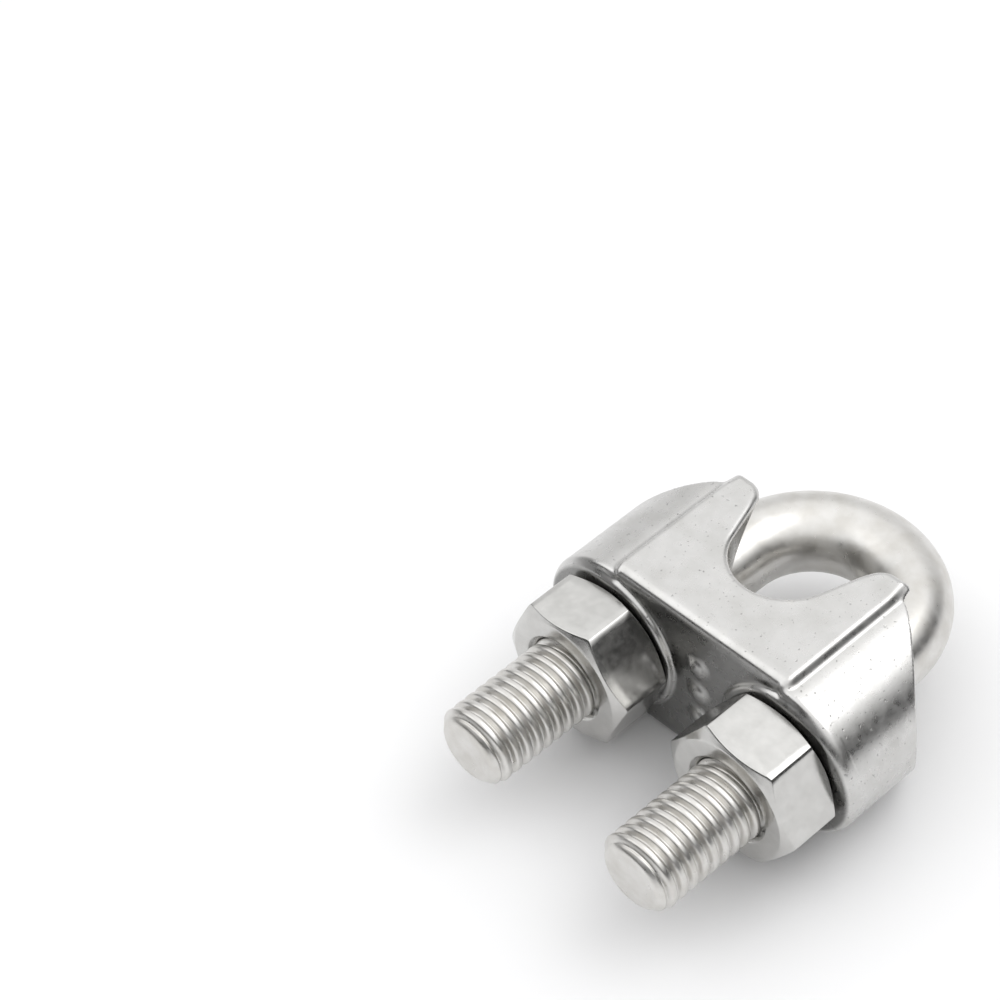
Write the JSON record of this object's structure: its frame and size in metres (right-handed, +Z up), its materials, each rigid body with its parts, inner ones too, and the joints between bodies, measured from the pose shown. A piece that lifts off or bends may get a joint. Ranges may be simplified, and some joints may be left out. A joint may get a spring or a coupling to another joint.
{
  "type": "wire rope clip",
  "caption": "U-bolt wire rope clip: a cast saddle slides on the threaded legs of a U-bolt, and hexagon nuts draw it up to clamp the rope in the bow.",
  "frame": {"origin": "on the resting plane, under the middle of the clip", "axes": "+X from the left leg to the right leg, +Y along the legs from the stud ends to the bow, +Z up, along the rope"},
  "size_m": [0.0366, 0.046, 0.018],
  "materials": {
    "u_bolt_steel": "polished",
    "cast_steel": "satin, finely pitted casting",
    "nut_steel": "polished"
  },
  "bodies": {
    "u_bolt": {"u_bolt": "u_bolt_steel"},
    "saddle": {"saddle": "cast_steel"},
    "nut_right": {"hex_nut_right": "nut_steel"},
    "nut_left": {"hex_nut_left": "nut_steel"}
  },
  "joints": [
    {"name": "saddle_slide", "type": "slide", "parent": "u_bolt", "child": "saddle", "axis": [0, 1, 0], "range_m": [-0.01125, 0.0025]},
    {"name": "nut_right_turn", "type": "hinge", "parent": "saddle", "child": "nut_right", "pos_m": [0.01, -0.0082, 0.009], "axis": [0, 1, 0], "range_deg": [-3240, 720]},
    {"name": "nut_left_turn", "type": "hinge", "parent": "saddle", "child": "nut_left", "pos_m": [-0.01, -0.0082, 0.009], "axis": [0, 1, 0], "range_deg": [-3240, 720]}
  ],
  "couplings": [
    {"joint": "nut_right_turn", "follows": "saddle_slide", "rad_per_m": 5026.5},
    {"joint": "nut_left_turn", "follows": "saddle_slide", "rad_per_m": 5026.5}
  ]
}
